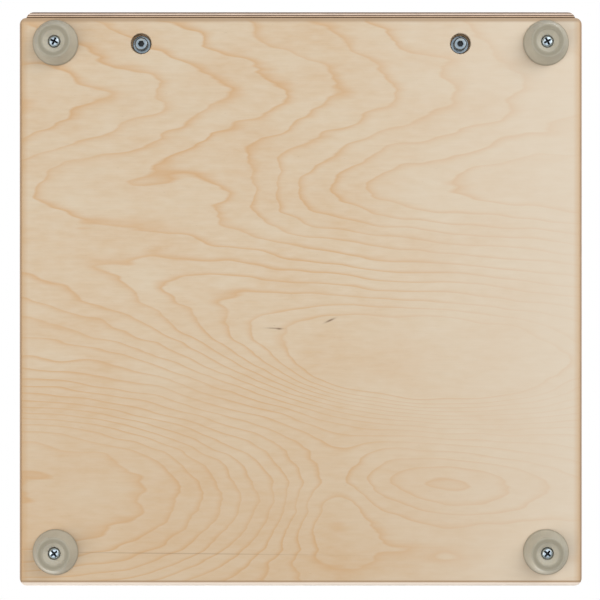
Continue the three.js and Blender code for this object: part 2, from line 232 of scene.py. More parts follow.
def soften(profile, reach):
    """The same line with each inner corner rounded over that reach."""
    points = [Vector(p) for p in profile]
    rounded = [points[0]]
    for before, corner, after in zip(points, points[1:], points[2:]):
        back, ahead = before - corner, after - corner
        start = corner + back.normalized() * min(reach, back.length * 0.45)
        end = corner + ahead.normalized() * min(reach, ahead.length * 0.45)
        for step in range(5):
            t = step / 4
            rounded.append((1 - t) ** 2 * start + 2 * t * (1 - t) * corner + t * t * end)
    rounded.append(points[-1])
    return rounded


def turned(name, profile, segments, closed=False):
    """A profile of radius and height turned about the Z axis."""
    rings = list(profile)[:-1] if closed else list(profile)
    points, faces = [], []
    for r, z in rings:
        for i in range(segments):
            angle = 2 * math.pi * i / segments
            points.append((r * math.cos(angle), r * math.sin(angle), z))
    count = len(rings)
    for a in range(count if closed else count - 1):
        b = (a + 1) % count
        for i in range(segments):
            j = (i + 1) % segments
            faces.append((a * segments + i, a * segments + j, b * segments + j, b * segments + i))
    return from_faces(name, points, faces)


def cylinder(name, radius, low, high, segments=48):
    return prism(name, arc((0, 0), radius, 0, 360, segments)[:-1], low, high)


def move(piece, x=0.0, y=0.0, z=0.0):
    piece.data.transform(Matrix.Translation((x, y, z)))
    return piece


def turn(piece, degrees, axis):
    piece.data.transform(Matrix.Rotation(math.radians(degrees), 4, axis))
    return piece


# ---- the panels ----


def plan_outline():
    """The box seen from above, with the striking plate narrower than the body behind it."""
    tapa_x = TAPA_HALF - TAPA_CORNER
    body_x = HALF_WIDTH - BODY_CORNER
    rear_x = HALF_WIDTH - REAR_CORNER
    tapa_y = TAPA_FACE + TAPA_CORNER
    body_y = BODY_FRONT + BODY_CORNER
    rear_y = BACK_FACE - REAR_CORNER
    joint = math.degrees(math.asin((BODY_FRONT - tapa_y) / TAPA_CORNER))
    return [
        *arc((tapa_x, tapa_y), TAPA_CORNER, -90, joint),
        *arc((body_x, body_y), BODY_CORNER, -88, 0),
        *arc((rear_x, rear_y), REAR_CORNER, 0, 90),
        *arc((-rear_x, rear_y), REAR_CORNER, 90, 180),
        *arc((-body_x, body_y), BODY_CORNER, 180, 268),
        *arc((-tapa_x, tapa_y), TAPA_CORNER, 180 - joint, 270),
    ]


def upright_outline(half_span, lower):
    """One upright section of the box, across X or Y, with its lower and upper edges rounded."""
    low = BODY_BOTTOM + lower
    high = BODY_TOP - SEAT_EDGE
    return [
        *arc((half_span - lower, low), lower, -90, 0),
        *arc((half_span - SEAT_EDGE, high), SEAT_EDGE, 0, 90),
        *arc((-half_span + SEAT_EDGE, high), SEAT_EDGE, 90, 180),
        *arc((-half_span + lower, low), lower, 180, 270),
    ]


def outside_shape():
    """The finished outside of the box, which every panel is trimmed to."""
    far = 0.4
    shape = prism("outside", plan_outline(), BODY_BOTTOM - MM, BODY_TOP + MM)
    across = prism("across", upright_outline(HALF_WIDTH, LOWER_SIDE_EDGE), -far, far)
    along = prism("along", upright_outline(BACK_FACE, LOWER_FACE_EDGE), -far, far)
    turn(across, 90, "X")
    turn(along, 90, "X")
    turn(along, 90, "Z")
    combine(shape, across, "INTERSECT")
    combine(shape, along, "INTERSECT")
    return shape


def panel(name, node, outside, spans, holes=()):
    """A panel: the part of the outside shape within these spans, less its holes."""
    piece = new_object(name, outside.data.copy())
    combine(piece, block("span", *spans), "INTERSECT")
    for hole in holes:
        combine(piece, hole, "DIFFERENCE")
    smooth(piece)
    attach(piece, "box")
    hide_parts(node)
    return piece


def flat_head_hole(node):
    """A countersunk hole for one of the striking plate's screws."""
    at = middle(node)
    rim = FLAT_HEAD + CLEARANCE
    bore = SHANK + CLEARANCE
    profile = [
        (0, -MM),
        (rim, -MM),
        (rim, FLAT_RIM),
        (bore, FLAT_RIM + rim - bore),
        (bore, TAPA_SCREW_LENGTH + MM),
        (0, TAPA_SCREW_LENGTH + MM),
    ]
    hole = turn(turned("hole", profile, 32), -90, "X")
    return move(hole, at.x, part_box(node)[0].y, at.z)


def tapa_screw_names(place):
    return sorted(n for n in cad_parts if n.startswith("tapa_screw_" + place))


def bottom_holes():
    holes = [flat_head_hole(n) for n in tapa_screw_names("bottom")]
    for row in ("front", "rear"):
        for side, _ in SIDES:
            at = middle(f"{row}_{side}_foot")
            pilot = cylinder("pilot", PILOT_RADIUS, 0, FOOT_SCREW_TIP + MM)
            holes.append(move(pilot, at.x, at.y))
    for side, _ in SIDES:
        at = middle(f"{side}_snare_adjuster")
        profile = [
            (0, 0),
            (COUNTERBORE_RADIUS + HOLE_CHAMFER, 0),
            (COUNTERBORE_RADIUS + HOLE_CHAMFER, BODY_BOTTOM),
            (COUNTERBORE_RADIUS, BODY_BOTTOM + HOLE_CHAMFER),
            (COUNTERBORE_RADIUS, COUNTERBORE_TOP),
            (BOLT_HOLE_RADIUS, COUNTERBORE_TOP),
            (BOLT_HOLE_RADIUS, CAVITY_BOTTOM + MM),
            (0, CAVITY_BOTTOM + MM),
        ]
        holes.append(move(turned("counterbore", profile, 64), at.x, at.y))
    return holes


def sound_hole():
    low, high = BODY_REAR, BACK_FACE
    profile = [
        (0, low - MM),
        (SOUND_HOLE_RADIUS + SOUND_HOLE_EDGE + MM, low - MM),
        (SOUND_HOLE_RADIUS + SOUND_HOLE_EDGE, low),
        (SOUND_HOLE_RADIUS, low + SOUND_HOLE_EDGE),
        (SOUND_HOLE_RADIUS, high - SOUND_HOLE_EDGE),
        (SOUND_HOLE_RADIUS + SOUND_HOLE_EDGE, high),
        (SOUND_HOLE_RADIUS + SOUND_HOLE_EDGE + MM, high + MM),
        (0, high + MM),
    ]
    return move(turn(turned("sound", profile, 128), -90, "X"), z=SOUND_HOLE_HEIGHT)


def make_panels():
    outside = outside_shape()
    far = 0.4
    wide = (-far, far)
    body = (BODY_FRONT, BODY_REAR)
    standing = (CAVITY_BOTTOM, CAVITY_TOP)
    bottom = panel(
        "bottom_panel_wood", "bottom_panel", outside,
        (wide, body, (-far, CAVITY_BOTTOM)), bottom_holes(),
    )
    top = panel(
        "top_panel_wood", "top_panel", outside, (wide, body, (CAVITY_TOP, 2 * far)),
        [flat_head_hole(n) for n in tapa_screw_names("top")],
    )
    left = panel(
        "left_side_panel_wood", "left_side_panel", outside,
        ((-far, -SIDE_INNER), body, standing),
    )
    right = panel(
        "right_side_panel_wood", "right_side_panel", outside,
        ((SIDE_INNER, far), body, standing),
    )
    back = panel(
        "back_panel_wood", "back_panel", outside,
        (wide, (BODY_REAR, far), (-far, 2 * far)), [sound_hole()],
    )
    tapa = panel(
        "tapa_wood", "tapa", outside, (wide, (-far, BODY_FRONT), (-far, 2 * far)),
        [flat_head_hole(n) for n in tapa_screw_names("")],
    )
    bpy.data.objects.remove(outside)
    return bottom, top, left, right, back, tapa


# ---- feet and screws ----


def cross_recess(face, depth, arm):
    """A cross-shaped cutter that narrows upwards into a screw head, with its mouth at that height."""
    half = RECESS_HALF_SLOT
    top = face + depth
    outline = [
        (arm, half), (half, half), (half, arm), (-half, arm), (-half, half), (-arm, half),
        (-arm, -half), (-half, -half), (-half, -arm), (half, -arm), (half, -half), (arm, -half),
    ]
    count = len(outline)
    points = [(x, y, face - depth) for x, y in outline]
    points += [(x, y, face) for x, y in outline]
    points += [(x * RECESS_TAPER, y * RECESS_TAPER, top) for x, y in outline]
    points.append((0, 0, top + 0.2 * depth))
    faces = [tuple(reversed(range(count)))]
    for ring in (0, count):
        for i in range(count):
            j = (i + 1) % count
            faces.append((ring + i, ring + j, ring + count + j, ring + count + i))
    for i in range(count):
        faces.append((2 * count + i, 2 * count + (i + 1) % count, 3 * count))
    return from_faces("recess", points, faces)


def threaded(name, radius, crest, low, high, pitch, head, tip, segments=24):
    """A screw: a head's profile, then a thread of that pitch and crest height, then a tip."""
    rows = max(2, int((high - low) / pitch * 4))
    rings = [[(r, z)] * segments for r, z in head]
    for row in range(rows + 1):
        z = low + (high - low) * row / rows
        ring = []
        for i in range(segments):
            phase = (z / pitch - i / segments) % 1
            ridge = max(0.0, 1 - abs(phase - 0.5) / 0.32)
            fade = min(1, row / 4, (rows - row) / 4)
            ring.append((radius - crest + crest * ridge * fade, z))
        rings.append(ring)
    rings += [[(r, z)] * segments for r, z in tip]
    points, faces = [], []
    for ring in rings:
        for i, (r, z) in enumerate(ring):
            angle = 2 * math.pi * i / segments
            points.append((r * math.cos(angle), r * math.sin(angle), z))
    for a in range(len(rings) - 1):
        for i in range(segments):
            j = (i + 1) % segments
            b = a + 1
            faces.append((a * segments + i, a * segments + j, b * segments + j, b * segments + i))
    return from_faces(name, points, faces)


def foot(name, node, finish):
    """A tapered silicone ring with a recess for its screw, built about its own axis."""
    at = middle(node)
    profile = [
        (FOOT_RECESS - 0.5 * MM, 0.9 * MM),
        (FOOT_RECESS, 0),
        (FOOT_CONTACT, 0),
        (FOOT_CONTACT + FOOT_LIP, FOOT_LIP),
        (FOOT_BASE - FOOT_LIP, FOOT_HEIGHT - 3 * FOOT_LIP),
        (FOOT_BASE, FOOT_HEIGHT - 2 * FOOT_LIP),
        (FOOT_BASE, FOOT_HEIGHT),
        (FOOT_BORE, FOOT_HEIGHT),
        (FOOT_BORE, SCREW_SEAT),
        (FOOT_POCKET, SCREW_SEAT),
        (FOOT_POCKET, FOOT_POCKET_FACE),
        (FOOT_RECESS - 0.5 * MM, 0.9 * MM),
    ]
    rounded = soften(profile, 0.5 * MM)
    piece = turned(name, rounded, 96, closed=True)
    piece.location = (at.x, at.y, 0)
    piece.data.shade_smooth()
    piece.data.set_sharp_from_angle(angle=math.radians(50))
    piece.data.materials.append(finish)
    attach(piece, "box")
    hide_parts(node)


def foot_screw(name, node, angle, finish):
    at = middle(node)
    face = SCREW_SEAT - PAN_HEIGHT
    dome = soften([
        (0, face), (0.72 * PAN_HEAD, face + 0.1 * MM), (0.95 * PAN_HEAD, face + 0.7 * MM),
        (PAN_HEAD, face + 1.3 * MM), (PAN_HEAD, SCREW_SEAT), (SHANK, SCREW_SEAT),
    ], 0.3 * MM)
    tip = [(SHANK * 0.6, FOOT_SCREW_TIP - 1.5 * MM), (0, FOOT_SCREW_TIP)]
    piece = threaded(
        name, SHANK, WOOD_THREAD_CREST, SCREW_SEAT + MM, FOOT_SCREW_TIP - 3 * MM,
        WOOD_THREAD_PITCH, dome, tip, 32,
    )
    recess = turn(cross_recess(face, RECESS_DEPTH, RECESS_ARM), angle, "Z")
    combine(piece, recess, "DIFFERENCE")
    smooth(piece, 40)
    piece.location = (at.x, at.y, 0)
    piece.data.materials.append(finish)
    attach(piece, "box")
    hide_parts(node)


def tapa_screw(name, node, angle, finish):
    """Built upright with its face at height 0, then laid along +Y."""
    at = middle(node)
    cone_end = FLAT_RIM + FLAT_HEAD - SHANK
    head = soften([(0, 0), (FLAT_HEAD, 0), (FLAT_HEAD, FLAT_RIM), (SHANK, cone_end)], 0.12 * MM)
    tip = [(SHANK * 0.6, TAPA_SCREW_LENGTH - 2 * MM), (0, TAPA_SCREW_LENGTH)]
    piece = threaded(
        name, SHANK, WOOD_THREAD_CREST, cone_end + MM, TAPA_SCREW_LENGTH - 4 * MM,
        WOOD_THREAD_PITCH, head, tip, 32,
    )
    recess = turn(cross_recess(0, RECESS_DEPTH, 1.15 * RECESS_ARM), angle, "Z")
    combine(piece, recess, "DIFFERENCE")
    turn(piece, -90, "X")
    smooth(piece, 40)
    piece.location = (at.x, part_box(node)[0].y, at.z)
    piece.data.materials.append(finish)
    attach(piece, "box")
    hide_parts(node)


def make_feet_and_screws(silicone, pan_zinc, zinc):
    for row, side, angle in (
        ("front", "left", 25), ("front", "right", 62), ("rear", "left", 52), ("rear", "right", 40),
    ):
        foot(f"{row}_{side}_foot_ring", f"{row}_{side}_foot", silicone)
        foot_screw(f"{row}_{side}_foot_pan_screw", f"{row}_{side}_foot_screw", angle, pan_zinc)
    for i, node in enumerate(tapa_screw_names("")):
        tapa_screw(node + "_flat_head", node, 37 * i % 90, zinc)


# ---- snares ----


def adjuster(side, finish):
    """An M4 socket head screw, its socket opening downwards."""
    node = f"{side}_snare_adjuster"
    at = middle(node)
    face = CAP_TOP - CAP_HEIGHT
    head = soften([
        (0, face), (CAP_HEAD - CAP_CHAMFER, face), (CAP_HEAD, face + CAP_CHAMFER),
        (CAP_HEAD, CAP_TOP), (BOLT, CAP_TOP),
    ], 0.15 * MM)
    end = CAP_TOP + BOLT_LENGTH
    tip = [(0.6 * BOLT, end), (0, end)]
    piece = threaded(
        f"{side}_adjuster_bolt", BOLT, BOLT_CREST, CAP_TOP + 5 * MM, end - MM, BOLT_PITCH, head, tip, 36,
    )
    corner = SOCKET_FLATS / math.cos(math.radians(30)) / 2
    hexagon = arc((0, 0), corner, 0, 360, 6)[:-1]
    socket = prism("socket", hexagon, face - MM, face + SOCKET_DEPTH)
    ease = 0.1 * MM
    lead_in = turned("lead_in", [
        (0, face - MM), (corner + MM, face - MM), (corner - ease, face + ease), (0, face + ease),
    ], 48)
    combine(piece, socket, "DIFFERENCE")
    combine(piece, lead_in, "DIFFERENCE")
    smooth(piece, 32)
    piece.location = (at.x, at.y, 0)
    piece.data.materials.append(finish)
    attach(piece, f"{side}_adjuster")
    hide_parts(node)


def washer(side, finish):
    node = f"{side}_adjuster_washer"
    at = middle(node)
    low, high = CAP_TOP + WASHER_GAP, COUNTERBORE_TOP
    profile = soften([
        (WASHER_BORE, low + 0.3 * MM), (WASHER_BORE, low), (WASHER, low), (WASHER, high),
        (WASHER_BORE, high), (WASHER_BORE, low + 0.3 * MM),
    ], 0.22 * MM)
    piece = turned(f"{side}_plain_washer", profile, 72, closed=True)
    piece.data.shade_smooth()
    piece.data.set_sharp_from_angle(angle=math.radians(50))
    piece.location = (at.x, at.y, 0)
    piece.data.materials.append(finish)
    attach(piece, "box")
    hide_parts(node)


def bent_line(corners, reach, steps=8):
    """A line through corners, each rounded over that reach."""
    points = [corners[0]]
    for before, corner, after in zip(corners, corners[1:], corners[2:]):
        start = corner + (before - corner).normalized() * reach
        end = corner + (after - corner).normalized() * reach
        for step in range(steps + 1):
            t = step / steps
            points.append((1 - t) ** 2 * start + 2 * t * (1 - t) * corner + t * t * end)
    points.append(corners[-1])
    return points


def tube(name, line, radius, segments=12):
    points, faces = [], []
    side = Vector((1, 0, 0))
    for i, point in enumerate(line):
        ahead = (line[min(i + 1, len(line) - 1)] - line[max(i - 1, 0)]).normalized()
        side = (side - ahead * side.dot(ahead)).normalized()
        up = ahead.cross(side)
        for k in range(segments):
            angle = 2 * math.pi * k / segments
            points.append(point + side * radius * math.cos(angle) + up * radius * math.sin(angle))
    for i in range(len(line) - 1):
        for k in range(segments):
            j = (k + 1) % segments
            faces.append((i * segments + k, i * segments + j, (i + 1) * segments + j, (i + 1) * segments + k))
    last = (len(line) - 1) * segments
    faces.append(tuple(reversed(range(segments))))
    faces.append(tuple(range(last, last + segments)))
    return from_faces(name, points, faces)


def snare_string(side, which, outward, finish):
    """One wound string with its two ball ends."""
    node = f"{side}_snare_string_{which}"
    at = middle(f"{side}_snare_adjuster")
    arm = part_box(f"{side}_snare_carriage")[1].z
    bar_low, bar_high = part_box("string_anchor_bar")
    seat = bar_high.z + STRING_GAP
    shoulder = arm - CARRIAGE_ARM - STRING_GAP
    foot_x = at.x + outward * STRING_FOOT_SPREAD
    anchor = Vector((at.x + outward * ANCHOR_SPREAD, bar_low.y + ANCHOR_HOLE_INSET, 0))
    bridge_y = BODY_FRONT + BRIDGE_GAP + STRING
    route = [
        Vector((foot_x, at.y, shoulder - BALL_LENGTH / 2)),
        Vector((foot_x, at.y, arm + MM)),
        Vector((at.x + outward * BRIDGE_SPREAD, bridge_y, middle("string_bridge").z)),
        Vector((anchor.x, anchor.y, bar_low.z - MM)),
        Vector((anchor.x, anchor.y, seat + BALL_LENGTH / 2)),
    ]
    piece = tube(f"{node}_wound", bent_line(route, STRING_BEND), STRING)
    for x, y, z in ((foot_x, at.y, shoulder - BALL_LENGTH), (anchor.x, anchor.y, seat)):
        barrel = soften([
            (0, z), (0.8 * BALL, z), (BALL, z + BALL_RIM), (0.86 * BALL, z + BALL_LENGTH / 2),
            (BALL, z + BALL_LENGTH - BALL_RIM), (0.8 * BALL, z + BALL_LENGTH), (0, z + BALL_LENGTH),
        ], BALL_ROUNDING)
        combine(piece, move(turned("ball", barrel, 32), x, y), "UNION")
    smooth(piece, 40)
    piece.data.materials.append(finish)
    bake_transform(piece)
    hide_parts(node)


def make_snares(cap_zinc, string_steel):
    for side, sign in SIDES:
        adjuster(side, cap_zinc)
        washer(side, cap_zinc)
        snare_string(side, "inner", -sign, string_steel)
        snare_string(side, "outer", sign, string_steel)


# ---- pieces that keep their CAD shape, with eased edges ----

EASED = {
    "front_batten_left": ("beech", "box", 0.6 * MM),
    "front_batten_right": ("beech", "box", 0.6 * MM),
    "bottom_left_glue_block": ("beech", "box", 0.5 * MM),
    "bottom_right_glue_block": ("beech", "box", 0.5 * MM),
    "top_left_glue_block": ("beech", "box", 0.5 * MM),
    "top_right_glue_block": ("beech", "box", 0.5 * MM),
    "string_anchor_bar": ("beech", "box", 0.6 * MM),
    "string_bridge": ("beech", "box", 0.3 * MM),
    "left_guide_block": ("beech", "box", 0.4 * MM),
    "right_guide_block": ("beech", "box", 0.4 * MM),
    "left_snare_carriage": ("zinc_plated_steel", "left_carriage", 0.25 * MM),
    "right_snare_carriage": ("zinc_plated_steel", "right_carriage", 0.25 * MM),
}


def eased(node, body, reach, finish):
    """The CAD node's own shape with its sharp edges rounded over that reach."""
    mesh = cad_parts[node].data.copy()
    mesh.materials.clear()
    shape = bmesh.new()
    shape.from_mesh(mesh)
    bmesh.ops.remove_doubles(shape, verts=shape.verts, dist=1e-6)
    bmesh.ops.dissolve_limit(shape, angle_limit=math.radians(0.5), verts=shape.verts, edges=shape.edges)
    shape.to_mesh(mesh)
    shape.free()
    piece = new_object(node + "_eased", mesh)
    rounding = piece.modifiers.new("rounding", "BEVEL")
    rounding.width = reach
    rounding.segments = 3
    rounding.limit_method = "ANGLE"
    rounding.angle_limit = math.radians(50)
    apply_modifiers(piece)
    smooth(piece, 50)
    piece.data.materials.append(finish)
    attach(piece, body)
    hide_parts(node)


# ---- shader helpers ----


def colour(code):
    """A screen colour such as "d8c0a4" as the linear colour that the shaders take."""
    parts = [int(code[i:i + 2], 16) / 255 for i in (0, 2, 4)]
    linear = [c / 12.92 if c <= 0.04045 else ((c + 0.055) / 1.055) ** 2.4 for c in parts]
    return (*linear, 1)


def put(tree, kind, inputs=None, **settings):
    """A new shader node, with its properties set and its inputs set or linked."""
    node = tree.nodes.new("ShaderNode" + kind)
    for key, value in settings.items():
        setattr(node, key, value)
    for key, value in (inputs or {}).items():
        if isinstance(value, bpy.types.NodeSocket):
            tree.links.new(value, node.inputs[key])
        else:
            node.inputs[key].default_value = value
    return node


def calc(tree, operation, *values, clamp=False):
    node = put(tree, "Math", dict(enumerate(values)), operation=operation, use_clamp=clamp)
    return node.outputs[0]


def ramp(tree, value, low, high, start=0.0, end=1.0):
    """The value moved from one range to another, and kept inside it."""
    inputs = {0: value, 1: low, 2: high, 3: start, 4: end}
    return put(tree, "MapRange", inputs, clamp=True).outputs[0]


def tint(tree, factor, below, above, mode="MIX"):
    """One colour changed towards another by a factor."""
    node = put(tree, "Mix", {0: factor, 6: below, 7: above}, data_type="RGBA", blend_type=mode)
    return node.outputs[2]


def millimetres(tree):
    """The place on the piece, in millimetres."""
    place = put(tree, "TexCoord").outputs["Object"]
    return put(tree, "VectorMath", {0: place, 1: (1000, 1000, 1000)}, operation="MULTIPLY").outputs[0]


def noise(tree, place, sizes, detail=2.0, shift=0.0):
    """Cloudy noise from about 0 to 1 whose patches have those sizes in millimetres."""
    scale = [1 / size for size in sizes]
    mapped = put(tree, "Mapping", {"Vector": place, "Location": (shift,) * 3, "Scale": scale})
    texture = put(tree, "TexNoise", {"Vector": mapped.outputs[0], "Scale": 1.0, "Detail": detail})
    return texture


def level(tree, place, sizes, detail=2.0, shift=0.0):
    return noise(tree, place, sizes, detail, shift).outputs[0]


def mound(tree, place, x, y, half_length, half_width, degrees, steepness=1):
    """A smooth hill of height 1 on an ellipse about that point. A steeper one has a flatter top."""
    inputs = {
        "Vector": place,
        "Location": (x, y, 0),
        "Rotation": (0, 0, math.radians(degrees)),
        "Scale": (half_length, half_width, 1),
    }
    mapped = put(tree, "Mapping", inputs, vector_type="TEXTURE").outputs[0]
    flat = put(tree, "VectorMath", {0: mapped, 1: (1, 1, 0)}, operation="MULTIPLY").outputs[0]
    square = put(tree, "VectorMath", {0: flat, 1: flat}, operation="DOT_PRODUCT").outputs["Value"]
    if steepness != 1:
        square = calc(tree, "POWER", square, steepness)
    return calc(tree, "EXPONENT", calc(tree, "MULTIPLY", square, -1))


def new_finish(name):
    """A new material with its node tree and its surface shader."""
    finish = bpy.data.materials.new(name)
    finish.use_nodes = True
    return finish, finish.node_tree, finish.node_tree.nodes["Principled BSDF"]


def link(tree, output, node, name):
    tree.links.new(output, node.inputs[name])


def bump(tree, height, strength, distance):
    return put(tree, "Bump", {"Height": height, "Strength": strength, "Distance": distance}).outputs[0]


# ---- birch plywood ----

# The growth rings on the bottom face are the contour lines of a landscape of smooth hills. Each hill has
# its middle and its half sizes in millimetres, its turn in degrees, its height in rings and its steepness.
HILLS = (
    ("upper slope", -240, -180, 300, 150, 0, 9.5, 1),
    ("tongue", -60, -106, 190, 30, -1, 2.8, 1),
    ("valley", 90, -56, 120, 22, 0, -1.9, 1),
    ("valley step", -40, -58, 38, 18, -8, 2.0, 1),
    ("west hollow", -135, -60, 30, 20, 0, -0.7, 1),
    ("left plateau", -190, -35, 120, 80, 0, 4.4, 1),
    ("broad ridge", 150, 22, 215, 50, 7, 10.2, 1),
    ("west ridge", -45, 2, 75, 34, 8, 3.6, 1),
    ("long eye", 57, 37, 80, 26, 4, 12.0, 1),
    ("south shelf", 60, 130, 200, 45, 0, 2.9, 1),
    ("left basin", -150, 104, 135, 50, 4, -9.0, 2),
    ("oval basin", 80, 99, 54, 18, 3, -3.4, 1),
    ("teardrop", 17, 110, 21, 34, 4, 2.3, 1),
)
GROUND_RINGS = 0.2
SUMMIT_RINGS = 13.7  # the landscape's flat top, inside the long eye

FACE_PLY = 0.55
GLUE_LINE = 0.15

BIRCH_LIGHT = colour("dcc8ab")
BIRCH_WARM = colour("d7b994")
BIRCH_PALE = colour("e6d8c4")
RING_LINE = colour("d5ae82")
PLY_LONG = colour("dcbf98")
PLY_CROSS = colour("c3a283")
PLY_GLUE = colour("a07b58")


def hill_rings(tree, place):
    """The bottom face's landscape, in rings."""
    total = GROUND_RINGS
    for _, x, y, half_length, half_width, degrees, rings, steepness in HILLS:
        hill = mound(tree, place, x, y, half_length, half_width, degrees, steepness)
        total = calc(tree, "MULTIPLY_ADD", hill, rings, total)
    # A smooth minimum flattens the summit
    below = calc(tree, "EXPONENT", calc(tree, "MULTIPLY", total, -2))
    both = calc(tree, "ADD", below, math.exp(-2 * SUMMIT_RINGS))
    return calc(tree, "MULTIPLY", calc(tree, "LOGARITHM", both, math.e), -0.5)


def plain_rings(tree, place, shift):
    """Another sheet's landscape, with the same kind of long rings."""
    broad = level(tree, place, (420, 130, 1e6), 1.0, shift)
    middle_hills = level(tree, place, (160, 60, 1e6), 1.0, shift + 7)
    broad = calc(tree, "MULTIPLY", broad, 34)
    return calc(tree, "MULTIPLY_ADD", middle_hills, 5, broad)


def face_figure(tree, place, rings):
    """The colour of a birch face veneer whose growth rings follow that landscape."""
    ragged = level(tree, place, (45, 3.2, 1e6), 1.0)
    drift = level(tree, place, (34, 13, 1e6), 1.0, 3)
    rings = calc(tree, "MULTIPLY_ADD", ragged, 0.22, rings)
    rings = calc(tree, "MULTIPLY_ADD", drift, 1.1, rings)
    part = calc(tree, "FRACT", rings)
    rise = ramp(tree, part, 0.6, 0.93)
    rise = calc(tree, "POWER", rise, 1.8)
    fall = ramp(tree, part, 1.0, 0.93)
    strength = ramp(tree, level(tree, place, (70, 30, 1e6), 1.0, 5), 0.3, 0.65, 0.45, 1.0)
    line = calc(tree, "MULTIPLY", calc(tree, "MULTIPLY", rise, fall), strength)
    clouds = ramp(tree, level(tree, place, (46, 22, 1e6), 3.0, 11), 0.25, 0.75)
    mottling = ramp(tree, level(tree, place, (9, 3, 1e6), 3.0, 17), 0.3, 0.7)
    ground = tint(tree, clouds, BIRCH_LIGHT, BIRCH_WARM)
    ground = tint(tree, calc(tree, "MULTIPLY", mottling, 0.3), ground, BIRCH_PALE)
    figured = tint(tree, line, ground, RING_LINE)
    fibres = ramp(tree, level(tree, place, (17, 0.55, 1e6), 2.0, 23), 0.25, 0.75, 0.975, 1.02)
    pores = ramp(tree, level(tree, place, (3.2, 0.5, 1e6), 1.0, 31), 0.75, 0.82, 0.0, 0.35)
    figured = tint(tree, 1.0, figured, fibres, "MULTIPLY")
    return tint(tree, pores, figured, colour("a98d6a")), fibres


def sheet_place(tree, along, across, depth, zero, sign):
    """Millimetres along the grain, across it, and inwards from the outer face."""
    axes = put(tree, "SeparateXYZ", {0: millimetres(tree)}).outputs
    inwards = calc(tree, "MULTIPLY_ADD", axes[depth], sign, -sign * zero / MM)
    inputs = {0: axes[along], 1: axes[across], 2: inwards}
    return put(tree, "CombineXYZ", inputs).outputs[0], inwards


def ply_stack(tree, inwards, thickness, plies):
    """The colours of a sheet's edge: plies that cross each other, with glue between them."""
    inner = (thickness - 2 * FACE_PLY) / (plies - 2)
    seams = [FACE_PLY + inner * i for i in range(plies - 1)]
    stack = put(tree, "ValToRGB", {0: calc(tree, "DIVIDE", inwards, thickness)})
    stops = stack.color_ramp.elements
    stack.color_ramp.interpolation = "CONSTANT"
    stops[0].color = PLY_LONG
    stops.remove(stops[1])
    for i, seam in enumerate(seams):
        glue = stops.new(seam / thickness)
        glue.color = PLY_GLUE
        ply = stops.new((seam + GLUE_LINE) / thickness)
        ply.color = PLY_LONG if i % 2 else PLY_CROSS
    return stack.outputs[0]


def face_mask(tree, inwards, thickness):
    """1 in the two face plies and 0 between them."""
    outer = calc(tree, "LESS_THAN", inwards, FACE_PLY)
    inner = calc(tree, "GREATER_THAN", inwards, thickness - FACE_PLY)
    return calc(tree, "MAXIMUM", outer, inner)


def band(tree, value, low, high, soft=0.12):
    """1 between two values and 0 outside them, with soft ends."""
    rise = ramp(tree, value, low - soft, low + soft)
    fall = ramp(tree, value, high + soft, high - soft)
    return calc(tree, "MULTIPLY", rise, fall)


def lacquer(tree, shader, fibres, place):
    """A satin lacquer over open grain."""
    patches = level(tree, place, (30, 12, 12), 2.0, 41)
    link(tree, ramp(tree, patches, 0.3, 0.7, 0.40, 0.50), shader, "Roughness")
    shader.inputs["Specular IOR Level"].default_value = 0.35
    shader.inputs["Coat Weight"].default_value = 0.08
    shader.inputs["Coat Roughness"].default_value = 0.35
    link(tree, bump(tree, fibres, 0.35, 0.00008), shader, "Normal")


def plywood(name, frame_of_sheet, thickness, plies, rings_of, extra=None):
    finish, tree, shader = new_finish(name)
    place, inwards = sheet_place(tree, *frame_of_sheet)
    figure, fibres = face_figure(tree, place, rings_of(tree, place))
    edge = ply_stack(tree, inwards, thickness, plies)
    streaks = ramp(tree, level(tree, place, (9, 9, 0.3), 2.0, 51), 0.3, 0.7, 0.90, 1.06)
    edge = tint(tree, 1.0, edge, streaks, "MULTIPLY")
    base = tint(tree, face_mask(tree, inwards, thickness), edge, figure)
    if extra:
        base = extra(tree, place, inwards, base)
    link(tree, base, shader, "Base Color")
    lacquer(tree, shader, fibres, place)
    return finish


# Flecks on the bottom face and one long faint line: middle and half sizes in millimetres, turn in
# degrees, strength
FLECKS = (
    (-14, 15.6, 4.0, 0.30, 2, 0.6),
    (-11.5, 15.9, 1.3, 0.40, 2, 0.8),
    (15.6, 11.4, 2.6, 0.45, -24, 0.85),
    (-65, 135.5, 60, 0.25, 0.6, 0.35),
)


